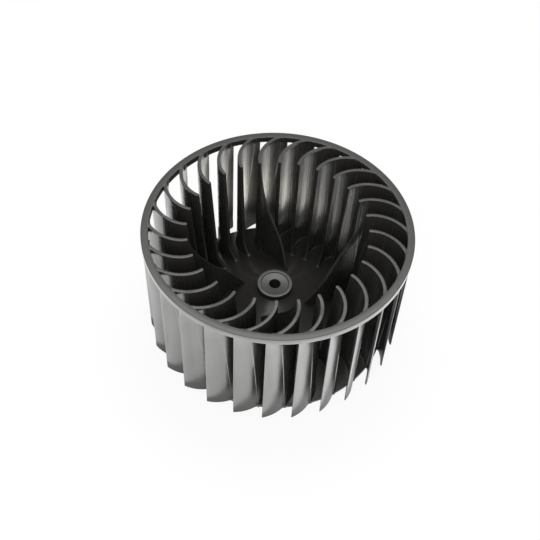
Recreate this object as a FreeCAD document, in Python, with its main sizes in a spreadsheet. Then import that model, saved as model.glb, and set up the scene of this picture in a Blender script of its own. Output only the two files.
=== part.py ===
import FreeCAD, Part

import math
import os
from enum import IntEnum

import Sketcher
from FreeCAD import Vector

# A blower wheel of a tumble dryer: one moulding in dark plastic. Twenty-eight forward curved blades
# stand on the edge of a back plate that rises as a trumpet shape to the hub. A thin ring ties the
# blades together at the mouth. Four thin webs carry every seventh blade on to the hub. The wheel
# stands on its back plate, +Z is its axis and points out of the mouth, and the first web's blade is
# on +X. Lengths are millimetres.

NODE = "blower_wheel"

SIZES = {
    # the whole wheel
    "wheel_diameter": 150.0,
    "wheel_height": 78.6,
    # the ring at the mouth
    "ring_width": 4.1,
    "ring_height": 3.8,
    "ring_bevel": 0.4,
    # the blades' inner edges: a cone down from the mouth, then a foot that slopes in to the floor
    "mouth_diameter": 99.8,
    "throat_draft": 4.9,
    "throat_height": 11.8,
    "toe_reach": 18.0,
    # the blades, whose two sides are arcs about the same centers, a thickness apart
    "blades_per_web": 7,
    "blade_thickness": 2.0,
    "blade_inner_radius": 34.0,
    "blade_crest_setback": 1.5,
    "blade_bend_radius": 11.7,
    "blade_bend_angle": 15.2,
    "blade_sweep_angle": 16.5,
    "blade_tip_inset": 0.6,
    "blade_tip_width": 1.6,
    # the back plate, whose floor is a row of cones with their edges on an arc
    "plate_diameter": 134.4,
    "plate_thickness": 2.2,
    "floor_radius": 103.0,
    "floor_center_diameter": 152.8,
    "floor_cones": 7,
    "hollow_cones": 4,
    "stand_width": 3.7,
    # the webs, which run in to the hub's side
    "web_count": 4,
    "web_thickness": 1.2,
    "web_turn_radius": 30.0,
    "web_shoulder_inset": 6.9,
    "web_shoulder_drop": 17.6,
    "web_heel_diameter": 15.0,
    # the hub, with a bored sleeve inside
    "hub_diameter": 21.0,
    "hub_rise": 3.3,
    "hub_lip_width": 2.4,
    "hub_recess_depth": 0.6,
    "hub_cap_thickness": 2.4,
    "bore_diameter": 6.4,
    "bore_chamfer": 0.4,
    "sleeve_wall": 2.8,
    "sleeve_foot_height": 6.0,
}

ORIGIN = (-1, 1)


class Point(IntEnum):
    """The points of a sketch's side, counted from one."""

    START = 1
    END = 2
    CENTER = 3


class Length:
    """A length in millimetres, with the sheet's expression for it."""

    def __init__(self, value, text=None):
        self.value = float(value)
        self.text = text or str(value)

    def __add__(self, other):
        return Length(self.value + other.value, f"({self.text} + {other.text})")

    def __sub__(self, other):
        return Length(self.value - other.value, f"({self.text} - {other.text})")

    def __neg__(self):
        return Length(-self.value, f"(0 - {self.text})")

    def __mul__(self, factor):
        return Length(self.value * factor.value, f"({self.text} * {factor.text})")


ZERO = Length(0)
OVERLAP = Length(0.5)


def size(name):
    return Length(SIZES[name], f"Sizes.{name}")


def half(name):
    return Length(SIZES[name] / 2, f"(Sizes.{name} / 2)")


def leg(slant, other):
    """The third side of a right triangle, from its slant side and the other one."""
    value = math.sqrt(slant.value ** 2 - other.value ** 2)
    return Length(value, f"sqrt({slant.text}^2 - {other.text}^2)")


def turned(length, angle):
    """How far a length reaches along two axes, when it is turned by an angle in degrees."""
    sine = Length(math.sin(math.radians(angle.value)), f"sin({angle.text})")
    cosine = Length(math.cos(math.radians(angle.value)), f"cos({angle.text})")
    return length * cosine, length * sine


def steps(first, last, count):
    """Lengths from first to last in even steps, both ends among them."""
    shares = [Length(step / count) for step in range(count + 1)]
    return [first + (last - first) * share for share in shares]


def make_sheet(doc):
    sheet = doc.addObject("Spreadsheet::Sheet", "Sizes")
    for row, (name, value) in enumerate(SIZES.items(), start=1):
        sheet.set(f"A{row}", name)
        sheet.set(f"B{row}", str(value))
        sheet.setAlias(f"B{row}", name)
    doc.recompute()


def new_body(doc, name):
    body = doc.addObject("PartDesign::Body", name)
    body.AllowCompound = True
    return body


def origin_part(body, role):
    return next(item for item in body.Origin.OriginFeatures if item.Role == role)


def new_sketch(body, name, plane):
    sketch = body.newObject("Sketcher::SketchObject", name)
    sketch.AttachmentSupport = [(origin_part(body, plane), "")]
    sketch.MapMode = "FlatFace"
    return sketch


def drive(sketch, kind, place, length):
    """Adds a constraint whose value comes from the sheet."""
    index = sketch.addConstraint(Sketcher.Constraint(kind, *place, length.value))
    sketch.setExpression(f"Constraints[{index}]", length.text)


def relate(sketch, kind, *places):
    sketch.addConstraint(Sketcher.Constraint(kind, *places))


def pin(sketch, place, spot):
    """Holds a point at the spot's lengths. A coordinate that is a plain number stays free."""
    for kind, length in zip(("DistanceX", "DistanceY"), spot):
        if isinstance(length, Length):
            drive(sketch, kind, ORIGIN + place, length)


def number(coordinate):
    return coordinate.value if isinstance(coordinate, Length) else coordinate


def add_arc(sketch, center, start, end, clockwise):
    """Adds an arc, and gives it with the names of its first and last points along the outline."""
    first, last = (end, start) if clockwise else (start, end)
    angles = [math.atan2(y - center[1], x - center[0]) for x, y in (first, last)]
    circle = Part.Circle(Vector(*center, 0), Vector(0, 0, 1), math.dist(center, start))
    arc = sketch.addGeometry(Part.ArcOfCircle(circle, *angles), False)
    if clockwise:
        return arc, Point.END, Point.START
    return arc, Point.START, Point.END


def outline(sketch, spots, arcs=None, smooth=()):
    """Draws a closed outline through spots and holds each spot where the sheet says.

    arcs gives the center and the clockwise flag of each side that is an arc, by its first spot's
    number. smooth lists the spots where the two sides meet in one direction.
    """
    arcs = arcs or {}
    corners = [tuple(number(coordinate) for coordinate in spot) for spot in spots]
    sides = []
    for index, start in enumerate(corners):
        end = corners[(index + 1) % len(corners)]
        if index in arcs:
            center, clockwise = arcs[index]
            sides.append(add_arc(sketch, tuple(map(number, center)), start, end, clockwise))
        else:
            line = sketch.addGeometry(Part.LineSegment(Vector(*start, 0), Vector(*end, 0)), False)
            sides.append((line, Point.START, Point.END))
    for index, spot in enumerate(spots):
        before, after = sides[index - 1], sides[index]
        kind = "Tangent" if index in smooth else "Coincident"
        relate(sketch, kind, before[0], before[2], after[0], after[1])
        pin(sketch, (after[0], after[1]), spot)
    return [side[0] for side in sides]


def add_feature(body, kind, name, sketch):
    feature = body.newObject(f"PartDesign::{kind}", name)
    feature.Profile = sketch
    return feature


def turn_about_axis(body, kind, name, sketch):
    feature = add_feature(body, kind, name, sketch)
    feature.ReferenceAxis = (sketch, ["V_Axis"])
    feature.Angle = 360.0
    return feature


def raise_sketch(body, name, sketch, height):
    pad = add_feature(body, "Pad", name, sketch)
    pad.setExpression("Length", height.text)
    return pad


def repeat_about_axis(body, name, count):
    """Repeats all that the body holds so far, evenly about the axis."""
    pattern = body.newObject("PartDesign::PolarPattern", name)
    pattern.TransformMode = "Whole shape"
    pattern.Axis = (origin_part(body, "Z_Axis"), [""])
    pattern.Angle = 360.0
    pattern.setExpression("Occurrences", count.text)
    body.Tip = pattern


# The floor follows an arc with its center high above the plate's rim. The hollow under the plate
# follows an arc with the same center. Both are rows of cones, which keeps the model light.

def floor_center():
    out = half("floor_center_diameter")
    up = size("plate_thickness") + leg(size("floor_radius"), out - half("plate_diameter"))
    return out, up


def floor_height(out, depth):
    """The height, at the distance out from the axis, of the arc that lies depth under the floor."""
    center_out, center_up = floor_center()
    return center_up - leg(size("floor_radius") + depth, center_out - out)


def floor_spots(first, last, depth, cones):
    return [(out, floor_height(out, depth)) for out in steps(first, last, SIZES[cones])]


# The blades

def crest_out():
    return half("mouth_diameter") + size("blade_crest_setback")


def blade_side(shift):
    """The inner end, the crest and the knee of the side that lies shift off a blade's middle."""
    crest = crest_out()
    inner = toe_out() + OVERLAP
    inner_up = leg(size("blade_inner_radius") + shift, crest - inner)
    knee_up, knee_run = turned(size("blade_bend_radius") + shift, size("blade_bend_angle"))
    return (
        (inner, inner_up - size("blade_inner_radius")),
        (crest, shift),
        (crest + knee_run, knee_up - size("blade_bend_radius")),
    )


def blade_end(inset):
    """A corner of a blade's outer end, an inset inside the wheel's rim."""
    out, along = turned(half("wheel_diameter") - inset, size("blade_sweep_angle"))
    return out, -along


def outer_center(knee, end):
    """The center of the arc that leaves the knee in the bend's direction and passes the end."""
    knee, end = [tuple(map(number, spot)) for spot in (knee, end)]
    bend = (crest_out().value - knee[0], -SIZES["blade_bend_radius"] - knee[1])
    chord = (end[0] - knee[0], end[1] - knee[1])
    reach = (chord[0] ** 2 + chord[1] ** 2) / 2 / (chord[0] * bend[0] + chord[1] * bend[1])
    return knee[0] + bend[0] * reach, knee[1] + bend[1] * reach


def draw_blade(sketch):
    back, face = half("blade_thickness"), -half("blade_thickness")
    inner_face, crest_face, knee_face = blade_side(face)
    inner_back, crest_back, knee_back = blade_side(back)
    end_back = blade_end(size("blade_tip_inset"))
    end_face = blade_end(size("blade_tip_inset") + size("blade_tip_width"))
    inner_center = (crest_out(), -size("blade_inner_radius"))
    bend_center = (crest_out(), -size("blade_bend_radius"))
    sides = outline(
        sketch,
        [inner_face, crest_face, knee_face, end_face, end_back, knee_back, crest_back, inner_back],
        {
            0: (inner_center, True),
            1: (bend_center, True),
            2: (outer_center(knee_face, end_face), True),
            4: (outer_center(knee_back, end_back), False),
            5: (bend_center, False),
            6: (inner_center, False),
        },
        smooth=(2, 5),
    )
    for radius, side_on_face, side_on_back in (
        ("blade_inner_radius", 0, 6),
        ("blade_bend_radius", 1, 5),
    ):
        drive(sketch, "Radius", (sides[side_on_face],), size(radius) + face)
        drive(sketch, "Radius", (sides[side_on_back],), size(radius) + back)


def throat_out():
    return half("mouth_diameter") - size("throat_draft")


def toe_out():
    return throat_out() - size("toe_reach")


def draw_throat(sketch):
    """What the blades leave free: the mouth's cone, and the foot's slope down to the base plane."""
    top, mouth = size("wheel_height"), half("mouth_diameter")
    outline(
        sketch,
        [
            (ZERO, ZERO),
            (toe_out(), ZERO),
            (throat_out(), size("throat_height")),
            (mouth, top),
            (mouth, top + OVERLAP),
            (ZERO, top + OVERLAP),
        ],
    )


def make_blades(doc):
    body = new_body(doc, "Blades")
    section = new_sketch(body, "BladeSection", "XY_Plane")
    draw_blade(section)
    raise_sketch(body, "Blade", section, size("wheel_height"))
    throat = new_sketch(body, "ThroatSection", "XZ_Plane")
    draw_throat(throat)
    turn_about_axis(body, "Groove", "Throat", throat)
    doc.recompute()
    repeat_about_axis(body, "BladeRow", size("web_count") * size("blades_per_web"))
    return body


# The webs

def web_turn_center():
    """The center of the turn that brings a web alongside the hub."""
    inner, turn = size("blade_inner_radius"), size("web_turn_radius")
    across = leg(inner + turn, inner + turn - half("hub_diameter"))
    return crest_out() - across, turn - half("hub_diameter")


def turn_point(radius):
    """The point of a web's side, radius from the crest arc's center, where its curve reverses."""
    turn_out, turn_up = map(number, web_turn_center())
    crest, inner = crest_out().value, SIZES["blade_inner_radius"]
    share = radius.value / (inner + SIZES["web_turn_radius"])
    return crest + (turn_out - crest) * share, -inner + (turn_up + inner) * share


def draw_web(sketch):
    crest, hub = crest_out(), half("hub_diameter")
    wall = half("web_thickness")
    inner, turn = size("blade_inner_radius"), size("web_turn_radius")
    arc_center = (crest, -inner)
    turn_center = web_turn_center()
    end = half("web_heel_diameter") + wall
    sides = outline(
        sketch,
        [
            (end, -hub - wall),
            (turn_center[0].value, (-hub - wall).value),
            turn_point(inner - wall),
            (crest, -wall),
            (crest, wall),
            turn_point(inner + wall),
            (turn_center[0].value, (-hub + wall).value),
            (end, -hub + wall),
        ],
        {
            1: (turn_center, False),
            2: (arc_center, True),
            4: (arc_center, False),
            5: (turn_center, True),
        },
        smooth=(1, 2, 5, 6),
    )
    relate(sketch, "Horizontal", sides[0])
    relate(sketch, "Horizontal", sides[6])
    drive(sketch, "Radius", (sides[1],), turn + wall)
    drive(sketch, "Radius", (sides[2],), inner - wall)
    drive(sketch, "Radius", (sides[4],), inner + wall)
    drive(sketch, "Radius", (sides[5],), turn - wall)


def draw_web_clearance(sketch):
    """What lies above the webs: a straight slope from the floor, then a sweep up to the mouth."""
    top, mouth = size("wheel_height"), half("mouth_diameter")
    inset, drop = size("web_shoulder_inset"), size("web_shoulder_drop")
    heel = (half("web_heel_diameter"), ZERO)
    shoulder = (mouth - inset, top - drop)
    slope = math.atan2(shoulder[1].value, shoulder[0].value - heel[0].value)
    chord = math.atan2(drop.value, inset.value)
    sweep = math.hypot(drop.value, inset.value) / 2 / math.sin(chord - slope)
    center = (
        shoulder[0].value - sweep * math.sin(slope),
        shoulder[1].value + sweep * math.cos(slope),
    )
    outline(
        sketch,
        [(ZERO, ZERO), heel, shoulder, (mouth, top), (mouth, top + OVERLAP), (ZERO, top + OVERLAP)],
        {2: (center, False)},
        smooth=(2,),
    )


def make_webs(doc):
    body = new_body(doc, "Webs")
    section = new_sketch(body, "WebSection", "XY_Plane")
    draw_web(section)
    raise_sketch(body, "Web", section, size("wheel_height"))
    clearance = new_sketch(body, "WebClearance", "XZ_Plane")
    draw_web_clearance(clearance)
    turn_about_axis(body, "Groove", "WebTop", clearance)
    doc.recompute()
    repeat_about_axis(body, "WebRow", size("web_count"))
    return body


# The back plate with its hub, and the ring

def hub_top():
    hub = half("hub_diameter")
    return floor_height(hub, ZERO) + size("hub_rise")


def draw_back(sketch):
    rim, hub = half("plate_diameter"), half("hub_diameter")
    bore, chamfer = half("bore_diameter"), size("bore_chamfer")
    lip, top = hub - size("hub_lip_width"), hub_top()
    recess = top - size("hub_recess_depth")
    outline(
        sketch,
        [(bore, ZERO), (rim, ZERO)]
        + floor_spots(rim, hub, ZERO, "floor_cones")
        + [
            (hub, top),
            (lip, top),
            (lip, recess),
            (bore + chamfer, recess),
            (bore, recess - chamfer),
        ],
    )


def draw_ring(sketch):
    inside, outside = half("wheel_diameter") - size("ring_width"), half("wheel_diameter")
    top = size("wheel_height")
    bottom = top - size("ring_height")
    outline(sketch, [(inside, bottom), (outside, bottom), (outside, top), (inside, top)])


def draw_bevel(sketch):
    """What the bevel takes off the ring's outer edge."""
    outside, top, bevel = half("wheel_diameter"), size("wheel_height"), size("ring_bevel")
    outline(sketch, [(outside - bevel, top), (outside, top - bevel), (outside, top)])


def draw_hollow(sketch):
    """The hollow under the plate, round the sleeve: the wheel stands on the band outside it."""
    band = half("plate_diameter") - size("stand_width")
    core = half("hub_diameter") - size("hub_lip_width")
    sleeve = half("bore_diameter") + size("sleeve_wall")
    ceiling = hub_top() - size("hub_recess_depth") - size("hub_cap_thickness")
    foot = size("sleeve_foot_height")
    outline(
        sketch,
        [(ZERO, -OVERLAP), (band, -OVERLAP)]
        + floor_spots(band, core, size("plate_thickness"), "hollow_cones")
        + [(core, ceiling), (sleeve, ceiling), (sleeve, foot), (ZERO, foot)],
    )


def make_wheel(doc, blades, webs):
    body = new_body(doc, NODE)
    back = new_sketch(body, "BackSection", "XZ_Plane")
    draw_back(back)
    turn_about_axis(body, "Revolution", "Back", back)
    ring = new_sketch(body, "RingSection", "XZ_Plane")
    draw_ring(ring)
    turn_about_axis(body, "Revolution", "Ring", ring)
    doc.recompute()
    joined = body.newObject("PartDesign::Boolean", "JoinedBlades")
    joined.setObjects([blades, webs])
    joined.Type = "Fuse"
    doc.recompute()
    bevel = new_sketch(body, "BevelSection", "XZ_Plane")
    draw_bevel(bevel)
    turn_about_axis(body, "Groove", "Bevel", bevel)
    hollow = new_sketch(body, "HollowSection", "XZ_Plane")
    draw_hollow(hollow)
    turn_about_axis(body, "Groove", "Hollow", hollow)
    return body


def check(doc, body):
    for item in doc.Objects:
        if "Invalid" in item.State or "Error" in item.State:
            raise RuntimeError(f"{item.Label} did not build: {item.State}")
    shape = body.Shape
    if shape.isNull() or not shape.isValid() or len(shape.Solids) != 1:
        raise RuntimeError(f"{body.Label} is not one valid solid")


doc = FreeCAD.newDocument("BlowerWheel")
make_sheet(doc)
wheel = make_wheel(doc, make_blades(doc), make_webs(doc))
doc.recompute()
check(doc, wheel)
os.makedirs("parts", exist_ok=True)
wheel.Shape.exportStep(f"parts/{NODE}.step")
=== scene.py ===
import math

import bmesh
import bpy
import numpy as np
from mathutils import Matrix, Vector


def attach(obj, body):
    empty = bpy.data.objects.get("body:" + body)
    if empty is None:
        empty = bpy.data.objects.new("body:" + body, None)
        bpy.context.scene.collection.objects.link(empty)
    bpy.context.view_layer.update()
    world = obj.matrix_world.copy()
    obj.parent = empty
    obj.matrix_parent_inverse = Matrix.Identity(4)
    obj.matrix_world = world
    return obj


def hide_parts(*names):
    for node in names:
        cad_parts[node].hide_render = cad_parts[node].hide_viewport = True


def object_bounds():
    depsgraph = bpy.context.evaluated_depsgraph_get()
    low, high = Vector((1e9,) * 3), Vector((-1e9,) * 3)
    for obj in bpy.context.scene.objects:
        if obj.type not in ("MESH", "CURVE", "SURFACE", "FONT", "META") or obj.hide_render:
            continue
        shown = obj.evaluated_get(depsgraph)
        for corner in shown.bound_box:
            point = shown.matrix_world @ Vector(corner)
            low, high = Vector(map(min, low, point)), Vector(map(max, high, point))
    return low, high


# The blower wheel of a tumble dryer: one dark moulding on a white sweep, under soft studio light.
# Shapes are made in millimetres about the wheel's axis (+Z), then scaled to the frame's metres.
# Out is the distance from the axis, and up is the height over the floor that the wheel stands on.

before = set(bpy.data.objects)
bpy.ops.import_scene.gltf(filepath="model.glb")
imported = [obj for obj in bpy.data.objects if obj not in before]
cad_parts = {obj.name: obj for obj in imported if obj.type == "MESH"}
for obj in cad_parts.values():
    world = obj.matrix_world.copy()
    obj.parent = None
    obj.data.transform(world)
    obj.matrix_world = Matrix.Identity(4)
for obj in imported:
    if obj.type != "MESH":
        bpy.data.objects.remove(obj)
CAD_LOW, CAD_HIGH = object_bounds()

MM = 0.001
RIM = (CAD_HIGH.x - CAD_LOW.x) / 2 / MM
TOP = CAD_HIGH.z / MM

BLADES = 28
WEBS = 4
AROUND = BLADES * 8  # segments round the axis

# the ring
RING_WIDTH, RING_HEIGHT = 4.1, 3.8
RING_IN = RIM - RING_WIDTH
RING_UNDER = TOP - RING_HEIGHT

# the blades: an inner arc, a tight bend past the crest, and an outer arc to the swept back end
CREST = 51.4
INNER_ARC, BEND_ARC, OUTER_ARC = 34.0, 11.7, 21.8
BEND_ANGLE = math.radians(15.2)
SWEEP = math.radians(16.5)
HALF_BLADE = 1.0
INNER_DRAFT, OUTER_DRAFT = 0.06, 0.5  # what a side gains inside the shut-off, and loses outside it
SHUT_OFF_STEP = 0.12  # half the width of the step at the shut-off of the tool's halves

# the blades' inner edges: how far out they are at the mouth, at the throat and at the floor
MOUTH, THROAT, TOE = 49.9, 45.0, 27.0
THROAT_HEIGHT = 11.8
LINE_START, NOSE_START = TOE + 1.0, TOE + 3.0  # for a blade's middle line, and for its nose

# what keeps the blades' ends inside the ring and the floor
TOP_GAP = 0.02
RIM_GAP = 0.05
DIP_START, DIP_END, DIP = RING_IN + 0.3, RING_IN + 0.9, 1.0
RING_SINK, FLOOR_SINK = 1.5, 0.5

# the back plate, whose floor is an arc in section
PLATE = 67.2
PLATE_WALL = 2.2
BAND = PLATE - 3.7
FLOOR_ARC, FLOOR_OUT = 103.0, 76.4
FLOOR_UP = PLATE_WALL + math.sqrt(FLOOR_ARC ** 2 - (FLOOR_OUT - PLATE) ** 2)

# the webs, whose top edge would meet the floor's plane at the heel
HALF_WEB = 0.6
TURN_ARC = 30.0
WEB_HEEL, WEB_START = 7.5, 17.0
SHOULDER_OUT, SHOULDER_UP = 43.0, 61.0
WEB_TOP_GAP = 0.4
WEB_SINKS = (1.2, 0.4)
WEB_CAP = 0.5  # the part under the top edge that the rows of a web's body leave out
WEB_ROW_GAP = 0.03  # keeps the rows in order where a web comes out of the floor

# the hub
HUB = 10.5
HUB_RISE = 3.3
LIP = 2.4
RECESS = 0.6
CAP = 2.4
BORE = 3.2
SLEEVE = 6.0  # how far out the sleeve round the bore reaches, and how high its lower end is

# the small rounds that the tool leaves
NOSE_ROUND = 0.8
TOP_ROUND = 0.3
ROOT_ROUND = 0.8
TIP_ROUND = 0.25
WEB_ROUND = 0.45
RING_ROUND, RING_INNER_ROUND = 0.25, 0.2
PLATE_ROUND = 0.3
HUB_FOOT_ROUND, HUB_ROUND, LIP_ROUND, RECESS_ROUND, BORE_ROUND = 0.8, 0.45, 0.3, 0.2, 0.4
ROUND_STEPS = np.array([0.0, 0.08, 0.29, 0.62, 1.0])  # the rows that follow a round, as shares
LEAST_HALF = 0.12  # half the thickness left at a rounded edge

SHARP = math.radians(35)  # edges at least as sharp as this aren't smoothed over

# beads of flash at the ring's inner edge: how far out, their direction in degrees, and their radius
FLASH = ((69.9, -126.8, 0.7), (70.9, -124.9, 0.6), (70.8, -122.6, 0.35), (70.7, 177.6, 0.7))
FLASH_GAP = 0.03

# the plastic's patterns, as the width of a cell: a centimetre over how many of them lie in it. The
# wave and the torn patches are about as wide as real ones. Real grain is about 0.1 wide and real
# drag marks 0.2, too fine to show, so both are drawn as coarse as they need to be.
GRAIN = 10 / 13
DRAG_MARK = 10 / 7
WAVE = 10 / 1.1
TORN_PATCH = 10 / 0.45
DRAG_STRETCH = 0.03  # how many times as fast a drag mark changes along the pull as across it
DRAG_OUT, DRAG_FADE = 66.0, 4.0  # how far out the drag marks reach, and over what they fade
POLISH = 0.15  # how much smoother the tool's pull has left the walls with drag marks
TORN_DEPTH, TORN_FADE = 0.9, 0.6  # how deep the torn edges reach, and over what they fade in

# the stage, in metres. The camera stands this turn about the axis from -Y, and so do the paper and
# the lamps.
CAMERA_TURN = math.radians(-14.5)
CAMERA_PLACE = Vector((-85.21, -329.47, 465.36)) * MM
CAMERA_AIM = Vector((-3.154, 0.785, 40.75)) * MM
CAMERA_ROLL = math.radians(-3.016)
LENS, SENSOR = 62.725, 36.0

PAPER_FRONT, PAPER_BACK, PAPER_SIDE = -1.6, 0.9, 2.5
PAPER_ARC, PAPER_TOP = 0.6, 2.6
PAPER_DROP = 0.0002  # keeps the paper clear of the wheel's foot
PAPER_GLOW = 1.03
GLOW_SHARE = 0.86  # the rest is lit paper, which keeps the wheel's shadow
# the shade on the paper: how far behind the wheel, between which radii it fades, and how deep it is
SHADE_BACK, SHADE_IN, SHADE_OUT, SHADE = 0.08, 0.12, 0.155, 0.75
SKY = 0.4  # the radiance of the sky, which lights the wheel from all sides

# soft boxes: place, size and radiance. A place is to the right, toward the camera, and up.
LAMP_AIM = (0.0, 0.0, 0.04)
SOFT_BOXES = {
    "back": ((0.0, -0.34, 0.94), (0.7, 0.46), 3.8),
    "front": ((-0.05, 0.6, 0.92), (0.6, 0.35), 3.4),
    "fill": ((0.0, 0.95, 0.62), (1.0, 0.5), 1.5),
}

# rings of soft boxes on the floor about the wheel: radius, depth, height, tint, and radiances in
# front of the wheel, beside it and behind it. The warm rings lie higher than the others, because
# boxes at one place and height hide each other.
BOUNCES = 16
BOUNCE_RINGS = {
    "near": (0.0855, 0.019, 0.001, "#ffffff", (2.0, 0.9, 0.6)),
    "middle": (0.11, 0.03, 0.001, "#ffffff", (2.9, 1.2, 1.3)),
    "near warm": (0.0855, 0.019, 0.002, "#fff9e9", (0.0, 0.0, 3.3)),
    "middle warm": (0.101, 0.012, 0.002, "#fff9e9", (0.0, 0.0, 1.0)),
    "far": (0.1825, 0.115, 0.001, "#ffffff", (3.2, 1.2, 0.4)),
}
RIGHT_GAIN = 0.45  # how much more light the front right gives
FAINTEST = 0.01  # a box with less radiance is left off


# Meshes

def add_object(name, data):
    item = bpy.data.objects.new(name, data)
    bpy.context.scene.collection.objects.link(item)
    return item


def mesh_object(name, vertices, faces):
    mesh = bpy.data.meshes.new(name)
    mesh.from_pydata([tuple(v) for v in np.asarray(vertices) * MM], [], faces)
    mesh.update()
    return add_object(name, mesh)


def grid_faces(rows, columns, first=0, close_rows=False, close_columns=False):
    """Quads over a grid of points, numbered row by row from first."""
    faces = []
    for r in range(rows if close_rows else rows - 1):
        for c in range(columns if close_columns else columns - 1):
            r2, c2 = (r + 1) % rows, (c + 1) % columns
            corners = ((r, c), (r, c2), (r2, c2), (r2, c))
            faces.append([first + a * columns + b for a, b in corners])
    return faces


def revolved(name, profile):
    """A closed outline of (out, up) points, anticlockwise, turned about the axis."""
    angles = np.arange(AROUND) * 2 * math.pi / AROUND
    points = [(r * math.cos(a), r * math.sin(a), z) for a in angles for r, z in profile]
    faces = grid_faces(AROUND, len(profile), close_rows=True, close_columns=True)
    return mesh_object(name, points, [face[::-1] for face in faces])


def rounded(corners, steps=4):
    """A closed outline with its corners rounded. A corner is (out, up, radius)."""
    points = []
    spots = [np.array(corner[:2], float) for corner in corners]
    for i, corner in enumerate(spots):
        radius = corners[i][2]
        if not radius:
            points.append(tuple(corner))
            continue
        before = spots[i - 1] - corner
        after = spots[(i + 1) % len(spots)] - corner
        before /= np.linalg.norm(before)
        after /= np.linalg.norm(after)
        half = math.acos(float(np.clip(before @ after, -1, 1))) / 2
        middle = before + after
        middle /= np.linalg.norm(middle)
        center = corner + middle * radius / math.sin(half)
        start = corner + before * radius / math.tan(half) - center
        end = corner + after * radius / math.tan(half) - center
        turn = math.atan2(start[0] * end[1] - start[1] * end[0], start @ end)
        for k in range(steps + 1):
            a = turn * k / steps
            points.append((
                center[0] + start[0] * math.cos(a) - start[1] * math.sin(a),
                center[1] + start[0] * math.sin(a) + start[1] * math.cos(a),
            ))
    return points


def combine(piece, other, operation):
    """Joins other to piece, or takes it off, and removes it."""
    change = piece.modifiers.new("combine", "BOOLEAN")
    change.operation = operation
    change.solver = "MANIFOLD"
    change.object = other
    graph = bpy.context.evaluated_depsgraph_get()
    mesh = bpy.data.meshes.new_from_object(piece.evaluated_get(graph))
    piece.modifiers.clear()
    piece.data = mesh
    bpy.data.objects.remove(other)


# The wheel's surfaces, as heights over the distance from the axis

def floor_up(out):
    return FLOOR_UP - np.sqrt(FLOOR_ARC ** 2 - (FLOOR_OUT - np.asarray(out, float)) ** 2)


def underside_up(out):
    under = FLOOR_ARC + PLATE_WALL
    return FLOOR_UP - np.sqrt(under ** 2 - (FLOOR_OUT - np.asarray(out, float)) ** 2)


def web_up(out):
    """The top edge of a web: a straight slope, then an arc that meets it and ends at the mouth."""
    slope = math.atan2(SHOULDER_UP, SHOULDER_OUT - WEB_HEEL)
    inset, drop = MOUTH - SHOULDER_OUT, TOP - SHOULDER_UP
    sweep = math.hypot(drop, inset) / 2 / math.sin(math.atan2(drop, inset) - slope)
    center_out = SHOULDER_OUT - sweep * math.sin(slope)
    center_up = SHOULDER_UP + sweep * math.cos(slope)
    out = np.asarray(out, float)
    run = np.clip(out - center_out, 0, sweep * 0.999)  # stays on the arc beyond its end
    arc = center_up - np.sqrt(sweep ** 2 - run ** 2)
    line = (out - WEB_HEEL) * math.tan(slope)
    return np.where(out < SHOULDER_OUT, line, np.minimum(arc, TOP))


def throat_out(up):
    return np.interp(up, [0, THROAT_HEIGHT, TOP], [TOE, THROAT, MOUTH])


def quarter(distance, radius):
    """How far a quarter round of that radius stands off at a distance from its corner."""
    d = np.clip(distance, 0, radius)
    return radius - np.sqrt(np.maximum(radius ** 2 - (radius - d) ** 2, 0))


def root_flare(out, up):
    """What fillets at the floor and the ring add to each side of a blade or web."""
    slope = (FLOOR_OUT - out) / FLOOR_ARC
    above = (up - floor_up(np.minimum(out, PLATE))) * np.sqrt(np.maximum(1 - slope ** 2, 0.1))
    beyond = np.maximum(out - PLATE, 0)
    floor_gap = np.where(beyond > 0, np.hypot(beyond, np.maximum(up - PLATE_WALL, 0)), above)
    ring_gap = np.hypot(np.maximum(RING_IN - out, 0), np.maximum(RING_UNDER - up, 0))
    return np.maximum(quarter(floor_gap, ROOT_ROUND), quarter(ring_gap, ROOT_ROUND))


# The blades

def arc_spokes(first, last, count):
    """Unit vectors from an arc's center, at even angles from the direction of a blade's back."""
    angles = np.linspace(first, last, count)
    return np.column_stack([np.sin(angles), np.cos(angles)])


def blade_line():
    """Points along the middle of a blade, seen along the axis, and the way to its back there."""
    bend_center = np.array([CREST, -BEND_ARC])
    knee = arc_spokes(BEND_ANGLE, BEND_ANGLE, 1)[0]
    outer_center = bend_center + (BEND_ARC - OUTER_ARC) * knee
    inner_end = math.asin((LINE_START - CREST) / INNER_ARC)
    spokes = [
        arc_spokes(inner_end, 0, 600)[:-1],
        arc_spokes(0, BEND_ANGLE, 200)[:-1],
        arc_spokes(BEND_ANGLE, math.pi / 2 + 0.1, 600),  # on past the blade's end
    ]
    points = [
        np.array([CREST, -INNER_ARC]) + INNER_ARC * spokes[0],
        bend_center + BEND_ARC * spokes[1],
        outer_center + OUTER_ARC * spokes[2],
    ]
    return np.concatenate(points), np.concatenate(spokes)


MIDDLE, SIDEWAYS = blade_line()
RUN = np.concatenate([[0], np.cumsum(np.hypot(*np.diff(MIDDLE, axis=0).T))])


def blade_reach(side):
    """How far out a blade's side is, along the blade, and where the side ends."""
    points = MIDDLE + side * HALF_BLADE * SIDEWAYS
    outer = MIDDLE[:, 0] > CREST
    sweep = -np.arctan2(points[outer, 1], points[outer, 0])
    return np.hypot(points[:, 0], points[:, 1]), np.interp(SWEEP, sweep, RUN[outer])


def shut_off(up):
    """The line on the blades, from the plate's rim to the ring, where the tool's halves met."""
    return np.interp(up, [PLATE_WALL, RING_UNDER], [PLATE, RING_IN])


def blade_top(out):
    """A blade's top, which dips where it is inside the ring."""
    return np.interp(out, [DIP_START, DIP_END], [TOP - TOP_GAP, TOP - DIP])


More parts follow.
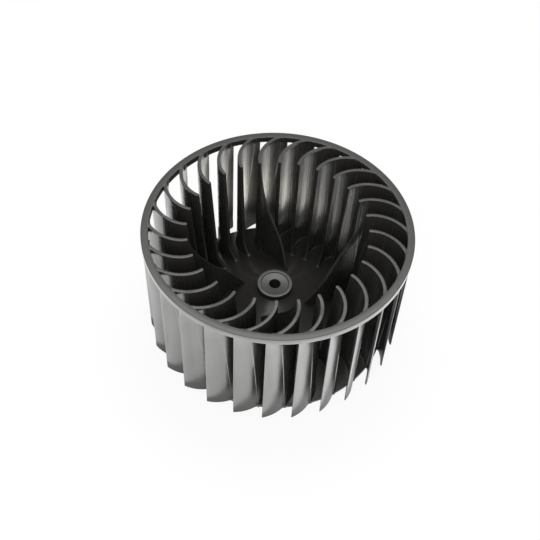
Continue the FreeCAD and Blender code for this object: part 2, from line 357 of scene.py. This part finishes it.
# The rows of a blade's grid from the floor's plane to its top: what each is measured from, and how
# far, or for the body which share of the way between the fillets.
BLADE_ROWS = (
    [("base", 0.0)]
    + [("floor", v) for v in [-FLOOR_SINK, *ROUND_STEPS * ROOT_ROUND]]
    + [("body", v) for v in (0.12, 0.26, 0.4, 0.54, 0.68, 0.84, 1.0)]
    + [("ring", v) for v in ROUND_STEPS[-2::-1] * ROOT_ROUND]
    + [("ring", -RING_SINK)]
    + [("top", v) for v in ROUND_STEPS[::-1] * TOP_ROUND]
)


def blade_row_up(row, out):
    """The height of a row of a blade's grid at a distance from the axis."""
    kind, value = row
    low = floor_up(np.minimum(out, PLATE))
    if kind == "base":
        return np.full_like(out, value)
    if kind == "floor":
        return low + value
    if kind == "body":
        foot = low + ROOT_ROUND
        return foot + (RING_UNDER - ROOT_ROUND - foot) * value
    if kind == "ring":
        return np.full_like(out, RING_UNDER - value)
    return blade_top(out) - value


def nose_out(row):
    """How far out a row of a blade begins, on the throat's slope or above it."""
    inner = np.array([NOSE_START - 1.0])
    for _ in range(40):  # which settles on where the row meets the slope
        inner = 0.5 * inner + 0.5 * np.maximum(throat_out(blade_row_up(row, inner)), NOSE_START)
    return inner[0]


def blade_runs(start, mark, end):
    """The columns of a blade's grid: its rounded nose, its body, the shut-off, the outer zone."""
    nose = start + ROUND_STEPS * NOSE_ROUND
    root = mark - SHUT_OFF_STEP - ROUND_STEPS[::-1] * ROOT_ROUND
    body = nose[-1] + (root[0] - nose[-1]) * np.linspace(0, 1, 10)[1:-1]
    first, last = mark + SHUT_OFF_STEP, end - TIP_ROUND
    outer = first + (last - first) * np.array([0.0, 0.1, 0.25, 0.45, 0.65, 0.85])
    return np.concatenate([nose, body, root, outer, end - ROUND_STEPS[::-1] * TIP_ROUND])


def blade_half(up, beyond):
    """Half a blade's thickness. Inside the shut-off it grows downward, and beyond it shrinks."""
    inside = HALF_BLADE + INNER_DRAFT * (1 - up / TOP)
    outside = HALF_BLADE - OUTER_DRAFT * np.clip(1 - up / RING_UNDER, 0, 1)
    return np.where(beyond, outside, inside)


def along_blade(line, runs):
    return np.column_stack([np.interp(runs, RUN, line[:, k]) for k in (0, 1)])


def blade_side(side):
    """One side of a blade as a grid of points. side is 1 for the back and -1 for the face."""
    reach, end = blade_reach(side)
    rows = []
    for row in BLADE_ROWS:
        start = np.interp(nose_out(row), reach, RUN)
        height = blade_row_up(row, np.array([RING_IN]))[0]
        mark = np.interp(shut_off(height), reach, RUN)
        runs = blade_runs(start, mark, end)
        out = np.interp(runs, RUN, reach)
        up = blade_row_up(row, out)
        cut = quarter(runs - start, NOSE_ROUND) + quarter(end - runs, TIP_ROUND)
        cut += quarter(TOP - TOP_GAP - up, TOP_ROUND)
        half = np.maximum(blade_half(up, runs > mark) - cut, LEAST_HALF) + root_flare(out, up)
        flat = along_blade(MIDDLE, runs) + along_blade(SIDEWAYS, runs) * (side * half)[:, None]
        flat *= np.minimum(1, (RIM - RIM_GAP) / np.hypot(flat[:, 0], flat[:, 1]))[:, None]
        rows.append(np.column_stack([flat, up]))
    return np.array(rows)


def shell(sides, turn):
    """Points and faces of a closed shell between two grids, turned about the axis."""
    back, face = sides
    rows, columns = back.shape[:2]
    c, s = math.cos(turn), math.sin(turn)
    spin = np.array([[c, s, 0], [-s, c, 0], [0, 0, 1]])
    points = np.concatenate([back.reshape(-1, 3), face.reshape(-1, 3)]) @ spin
    count = rows * columns
    faces = [f[::-1] for f in grid_faces(rows, columns)]
    faces += grid_faces(rows, columns, count)
    bottom = list(range(columns))
    top = [count - columns + i for i in bottom]
    start = [r * columns for r in range(rows)]
    end = [i + columns - 1 for i in start]
    for border in (start[::-1], end, bottom, top[::-1]):
        for a, b in zip(border, border[1:]):
            faces.append([a, b, b + count, a + count])
    return points, faces


def join_shells(name, shells):
    points, faces, first = [], [], 0
    for vertices, quads in shells:
        points.append(vertices)
        faces += [[first + i for i in quad] for quad in quads]
        first += len(vertices)
    return mesh_object(name, np.concatenate(points), faces)


def make_blades():
    sides = (blade_side(1), blade_side(-1))
    step = 2 * math.pi / BLADES
    return join_shells("blades", [shell(sides, k * step) for k in range(BLADES)])


# The webs

def web_line():
    """Points along a web's middle, from the hub to the crest, and the way to its back there."""
    across = math.sqrt((INNER_ARC + TURN_ARC) ** 2 - (INNER_ARC + TURN_ARC - HUB) ** 2)
    turn = np.array([CREST - across, TURN_ARC - HUB])
    crest = np.array([CREST, -INNER_ARC])
    switch = crest + (turn - crest) * INNER_ARC / (INNER_ARC + TURN_ARC)
    first = math.atan2(*(switch - turn)[::-1])
    last = math.atan2(*(switch - crest)[::-1])
    points, sideways = [], []
    for center, radius, way, angles in (
        (turn, TURN_ARC, -1, np.linspace(-math.pi / 2, first, 9)[:-1]),
        (crest, INNER_ARC, 1, np.linspace(last, math.pi / 2, 15)),
    ):
        for a in angles:
            spoke = np.array([math.cos(a), math.sin(a)])
            points.append(center + spoke * radius)
            sideways.append(way * spoke)
    return np.array(points), np.array(sideways)


def web_grid():
    """The two sides of a web as grids of points."""
    points, sideways = web_line()
    out = np.hypot(points[:, 0], points[:, 1])
    keep = out > WEB_START
    keep[np.argmax(keep) - 1] = True
    points, sideways, out = points[keep], sideways[keep], out[keep]
    top = np.minimum(web_up(out), TOP - WEB_TOP_GAP)
    low = floor_up(out)
    rows = [low - v for v in WEB_SINKS] + [low + v for v in ROUND_STEPS * ROOT_ROUND]
    foot = rows[-1]
    rows += [foot + (top - WEB_CAP - foot) * v for v in (0.1, 0.25, 0.4, 0.55, 0.7, 0.85)]
    rows += [top - v for v in ROUND_STEPS[::-1] * WEB_ROUND]
    rows = [np.minimum(up, top - WEB_ROW_GAP * k) for k, up in enumerate(rows[::-1])][::-1]
    sides = []
    for side in (1, -1):
        grid = []
        for up in rows:
            half = np.maximum(HALF_WEB - quarter(top - up, WEB_ROUND), LEAST_HALF)
            half += root_flare(out, up)
            grid.append(np.column_stack([points + sideways * (side * half)[:, None], up]))
        sides.append(np.array(grid))
    return sides


def make_webs():
    grid = web_grid()
    return join_shells("webs", [shell(grid, k * 2 * math.pi / WEBS) for k in range(WEBS)])


# The back plate with its hub, the hollow under it, and the ring

def make_back():
    hub_top = float(floor_up(HUB)) + HUB_RISE
    floor = [(r, float(floor_up(r)), 0) for r in np.linspace(PLATE, HUB, 19)]
    floor[0] = (*floor[0][:2], PLATE_ROUND)
    floor[-1] = (*floor[-1][:2], HUB_FOOT_ROUND)
    return revolved("wheel", rounded([
        (BORE, 0, 0),
        (PLATE, 0, 0),
        *floor,
        (HUB, hub_top, HUB_ROUND),
        (HUB - LIP, hub_top, LIP_ROUND),
        (HUB - LIP, hub_top - RECESS, RECESS_ROUND),
        (BORE, hub_top - RECESS, BORE_ROUND),
    ]))


def make_hollow():
    """What the hollow takes off: it starts below the wheel, and crosses the bore."""
    ceiling = float(floor_up(HUB)) + HUB_RISE - RECESS - CAP
    core = HUB - LIP
    below, inside = -5, BORE - 1
    under = [(r, float(underside_up(r))) for r in np.linspace(BAND, core, 15)]
    profile = [(inside, below), (BAND, below)] + under
    profile += [(core, ceiling), (SLEEVE, ceiling), (SLEEVE, SLEEVE), (inside, SLEEVE)]
    return revolved("hollow", profile)


def make_ring():
    return revolved("ring", rounded([
        (RING_IN, RING_UNDER, RING_INNER_ROUND),
        (RIM, RING_UNDER, RING_ROUND),
        (RIM, TOP, RING_ROUND),
        (RING_IN, TOP, RING_ROUND),
    ]))


def make_flash():
    """Small beads that squeezed out where the tool's halves met at the ring."""
    shapes = bmesh.new()
    for out, direction, radius in FLASH:
        angle = math.radians(direction)
        up = TOP - radius - FLASH_GAP
        place = Vector((out * math.cos(angle), out * math.sin(angle), up)) * MM
        bmesh.ops.create_icosphere(
            shapes, subdivisions=2, radius=radius * MM, matrix=Matrix.Translation(place)
        )
    mesh = bpy.data.meshes.new("flash")
    shapes.to_mesh(mesh)
    shapes.free()
    return add_object("flash", mesh)


def make_wheel():
    wheel = make_back()
    combine(wheel, make_ring(), "UNION")
    combine(wheel, make_blades(), "UNION")
    combine(wheel, make_webs(), "UNION")
    combine(wheel, make_flash(), "UNION")
    combine(wheel, make_hollow(), "DIFFERENCE")
    wheel.name = "blower_wheel_moulding"
    return wheel


# Materials

def linear(code):
    """The linear colour of an sRGB hex code."""
    channels = [int(code[i:i + 2], 16) / 255 for i in (1, 3, 5)]
    return [c / 12.92 if c <= 0.04045 else ((c + 0.055) / 1.055) ** 2.4 for c in channels] + [1.0]


def add_node(tree, kind, inputs=None, **settings):
    """Adds a node with its settings. An input gets a value, or the output that feeds it."""
    node = tree.nodes.new(kind)
    for name, value in settings.items():
        setattr(node, name, value)
    for name, value in (inputs or {}).items():
        if isinstance(value, bpy.types.NodeSocket):
            tree.links.new(value, node.inputs[name])
        else:
            node.inputs[name].default_value = value
    return node


def new_material(name):
    material = bpy.data.materials.new(name)
    material.use_nodes = True
    material.node_tree.nodes.clear()
    return material, material.node_tree


def moulded_plastic():
    """Black injection moulded polypropylene: satin and a little wavy, smoother and with fine drag
    marks along the pull wherever the tool's inner half lifted out of the blades, and with ragged
    patches on their top edges."""
    material, tree = new_material("moulded_plastic")
    place = add_node(tree, "ShaderNodeTexCoord").outputs["Object"]
    grain = add_node(
        tree, "ShaderNodeTexNoise", {"Vector": place, "Scale": 1 / (GRAIN * MM), "Detail": 3.0}
    ).outputs["Fac"]
    wave = add_node(
        tree, "ShaderNodeTexNoise", {"Vector": place, "Scale": 1 / (WAVE * MM), "Detail": 2.0}
    ).outputs["Fac"]

    # drag marks, on upright walls inside the shut-off
    pull = add_node(
        tree, "ShaderNodeMapping", {"Vector": place, "Scale": (1.0, 1.0, DRAG_STRETCH)}
    ).outputs["Vector"]
    drag = add_node(
        tree, "ShaderNodeTexNoise", {"Vector": pull, "Scale": 1 / (DRAG_MARK * MM), "Detail": 4.0}
    ).outputs["Fac"]
    flat = add_node(tree, "ShaderNodeMapping", {"Vector": place, "Scale": (1.0, 1.0, 0.0)})
    out = add_node(tree, "ShaderNodeVectorMath", {0: flat.outputs["Vector"]}, operation="LENGTH")
    inside = add_node(tree, "ShaderNodeMapRange", {
        "Value": out.outputs["Value"],
        "From Min": DRAG_OUT * MM, "From Max": (DRAG_OUT + DRAG_FADE) * MM,
        "To Min": 1.0, "To Max": 0.0,
    }).outputs["Result"]
    normal = add_node(tree, "ShaderNodeNewGeometry").outputs["Normal"]
    facing_up = add_node(tree, "ShaderNodeSeparateXYZ", {"Vector": normal}).outputs["Z"]
    wall = add_node(tree, "ShaderNodeMapRange", {
        "Value": facing_up, "From Min": 0.2, "From Max": 0.5, "To Min": 1.0, "To Max": 0.0,
    }).outputs["Result"]
    marked = add_node(tree, "ShaderNodeMath", {0: inside, 1: wall}, operation="MULTIPLY").outputs[0]
    centred = add_node(tree, "ShaderNodeMath", {0: drag, 1: 0.5}, operation="SUBTRACT").outputs[0]
    streak = add_node(
        tree, "ShaderNodeMath", {0: centred, 1: marked}, operation="MULTIPLY"
    ).outputs[0]
    # what sets the roughness: 0 on plain walls, and less where the pull has polished them
    smooth = add_node(
        tree, "ShaderNodeMath", {0: marked, 1: -POLISH, 2: streak}, operation="MULTIPLY_ADD"
    ).outputs[0]
    rough = add_node(tree, "ShaderNodeMapRange", {
        "Value": smooth, "From Min": -0.35, "From Max": 0.25, "To Min": 0.1, "To Max": 0.43,
    }).outputs["Result"]

    # ragged patches, on the top edges
    up = add_node(tree, "ShaderNodeSeparateXYZ", {"Vector": place}).outputs["Z"]
    edge = add_node(tree, "ShaderNodeMapRange", {
        "Value": up,
        "From Min": (TOP - TORN_DEPTH) * MM, "From Max": (TOP - TORN_DEPTH + TORN_FADE) * MM,
    }).outputs["Result"]
    patch = add_node(
        tree, "ShaderNodeTexNoise", {"Vector": place, "Scale": 1 / (TORN_PATCH * MM), "Detail": 1.0}
    ).outputs["Fac"]
    torn = add_node(
        tree, "ShaderNodeMapRange", {"Value": patch, "From Min": 0.56, "From Max": 0.62}
    ).outputs["Result"]
    nicks = inside
    for part in (edge, torn, grain):
        nicks = add_node(
            tree, "ShaderNodeMath", {0: nicks, 1: part}, operation="MULTIPLY"
        ).outputs[0]

    relief = {}
    for height, strength, depth in (
        (grain, 0.5, 0.1),
        (wave, 0.2, 0.4),
        (streak, 1.0, 0.15),
        (nicks, 0.7, 0.6),
    ):
        bump = {"Height": height, "Strength": strength, "Distance": depth * MM}
        relief["Normal"] = add_node(tree, "ShaderNodeBump", bump | relief).outputs["Normal"]
    shader = add_node(tree, "ShaderNodeBsdfPrincipled", relief | {
        "Base Color": linear("#333230"), "Roughness": rough, "IOR": 1.5,
        "Coat Weight": 0.2, "Coat Roughness": 0.25,
    })
    add_node(tree, "ShaderNodeOutputMaterial", {"Surface": shader.outputs["BSDF"]})
    return material


def paper_sweep():
    """White seamless paper: white to the camera, and in reflections, which also see that the floor
    close behind the wheel is in its shade."""
    material, tree = new_material("paper_sweep")
    path = add_node(tree, "ShaderNodeLightPath").outputs
    place = add_node(tree, "ShaderNodeTexCoord").outputs["Object"]
    behind = add_node(
        tree, "ShaderNodeMapping", {"Vector": place, "Location": (0.0, -SHADE_BACK, 0.0)}
    ).outputs["Vector"]
    away = add_node(
        tree, "ShaderNodeVectorMath", {0: behind}, operation="LENGTH"
    ).outputs["Value"]
    shade = add_node(tree, "ShaderNodeMapRange", {
        "Value": away, "From Min": SHADE_IN, "From Max": SHADE_OUT, "To Min": SHADE, "To Max": 0.0,
    }).outputs["Result"]
    loss = add_node(
        tree, "ShaderNodeMath", {0: shade, 1: path["Is Glossy Ray"]}, operation="MULTIPLY"
    ).outputs[0]
    strength = add_node(
        tree, "ShaderNodeMath", {0: PAPER_GLOW, 1: loss}, operation="SUBTRACT"
    ).outputs[0]
    glow = add_node(
        tree, "ShaderNodeEmission", {"Color": linear("#ffffff"), "Strength": strength}
    )
    paper = add_node(tree, "ShaderNodeBsdfDiffuse", {"Color": linear("#f4f4f2")})
    seen = path["Is Camera Ray"]
    for kind in ("Is Glossy Ray", "Is Transmission Ray"):
        seen = add_node(
            tree, "ShaderNodeMath", {0: seen, 1: path[kind]}, operation="MAXIMUM"
        ).outputs[0]
    share = add_node(
        tree, "ShaderNodeMath", {0: seen, 1: GLOW_SHARE}, operation="MULTIPLY"
    ).outputs[0]
    mixed = add_node(tree, "ShaderNodeMixShader", {
        0: share, 1: paper.outputs["BSDF"], 2: glow.outputs["Emission"],
    })
    add_node(tree, "ShaderNodeOutputMaterial", {"Surface": mixed.outputs["Shader"]})
    return material


def make_sky():
    """A dim white sky, which is full white to the camera."""
    world = bpy.data.worlds.new("studio")
    world.use_nodes = True
    tree = world.node_tree
    tree.nodes.clear()
    path = add_node(tree, "ShaderNodeLightPath").outputs
    strength = add_node(
        tree, "ShaderNodeMapRange", {"Value": path["Is Camera Ray"], "To Min": SKY, "To Max": 1.0}
    ).outputs["Result"]
    sky = add_node(
        tree, "ShaderNodeBackground", {"Color": linear("#ffffff"), "Strength": strength}
    )
    add_node(tree, "ShaderNodeOutputWorld", {"Surface": sky.outputs["Background"]})
    bpy.context.scene.world = world


# The stage, the lamps and the camera

def make_sweep():
    """A floor that curves up into a wall behind."""
    profile = [(PAPER_FRONT, 0.0), (PAPER_BACK, 0.0)]
    for a in np.linspace(0.1, math.pi / 2, 12):
        profile.append((PAPER_BACK + PAPER_ARC * math.sin(a), PAPER_ARC - PAPER_ARC * math.cos(a)))
    profile.append((PAPER_BACK + PAPER_ARC, PAPER_TOP))
    points = [(x, y, z) for y, z in profile for x in (-PAPER_SIDE, PAPER_SIDE)]
    mesh = bpy.data.meshes.new("sweep")
    mesh.from_pydata(points, [], grid_faces(len(profile), 2))
    for polygon in mesh.polygons:
        polygon.use_smooth = True
    sweep = add_object("sweep", mesh)
    sweep.rotation_euler.z = CAMERA_TURN
    sweep.location.z = -PAPER_DROP
    mesh.materials.append(paper_sweep())


def from_camera(right, toward, up):
    """A place given to the right of the camera, toward it and up, in metres from the axis."""
    c, s = math.cos(CAMERA_TURN), math.sin(CAMERA_TURN)
    return right * c + toward * s, right * s - toward * c, up


def add_lamp(name, place, aim, size, radiance):
    """A soft box. Its power follows from its size, so that its face has the given radiance."""
    lamp = bpy.data.lights.new(name, "AREA")
    lamp.shape = "RECTANGLE"
    lamp.size, lamp.size_y = size
    lamp.energy = radiance * math.pi * size[0] * size[1]
    item = add_object(name, lamp)
    item.location = from_camera(*place)
    heading = Vector(from_camera(*aim)) - Vector(item.location)
    item.rotation_euler = heading.to_track_quat("-Z", "Y").to_euler()
    item.visible_camera = False
    return item


def add_bounce(name, radius, depth, up, tint, radiances):
    """A ring of soft boxes that face up. Only reflections show them, as they do lit paper."""
    front, side, back = radiances
    width = 2 * radius * math.tan(math.pi / BOUNCES)
    for k in range(BOUNCES):
        turn = 2 * math.pi * k / BOUNCES
        right, toward = radius * math.sin(turn), radius * math.cos(turn)
        end = front if toward > 0 else back
        level = side + (end - side) * math.cos(turn) ** 2
        if toward > 0:
            level *= 1 + RIGHT_GAIN * max(math.sin(turn), 0)
        if level < FAINTEST:
            continue
        place, aim = (right, toward, up), (right, toward, 1.0)
        lamp = add_lamp(f"bounce {name} {k}", place, aim, (width, depth), level)
        lamp.rotation_euler = (math.pi, 0, turn + CAMERA_TURN)
        lamp.data.color = linear(tint)[:3]
        lamp.visible_diffuse = False


def make_lamps():
    for name, (place, size, radiance) in SOFT_BOXES.items():
        add_lamp(name, place, LAMP_AIM, size, radiance)
    for name, ring in BOUNCE_RINGS.items():
        add_bounce(name, *ring)


def make_camera():
    data = bpy.data.cameras.new("camera")
    data.lens = LENS
    data.sensor_width = SENSOR
    camera = add_object("camera", data)
    forward = (CAMERA_AIM - CAMERA_PLACE).normalized()
    right = forward.cross(Vector((0, 0, 1))).normalized()
    right = Matrix.Rotation(CAMERA_ROLL, 3, forward) @ right
    matrix = Matrix((right, right.cross(forward), -forward)).transposed().to_4x4()
    matrix.translation = CAMERA_PLACE
    camera.matrix_world = matrix
    bpy.context.scene.camera = camera


wheel = make_wheel()
wheel.data.materials.clear()
wheel.data.materials.append(moulded_plastic())
wheel.data.shade_smooth()
wheel.data.set_sharp_from_angle(angle=SHARP)
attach(wheel, "root")
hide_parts("blower_wheel")

make_sweep()
make_lamps()
make_sky()
make_camera()
bpy.context.scene.view_settings.view_transform = "Standard"
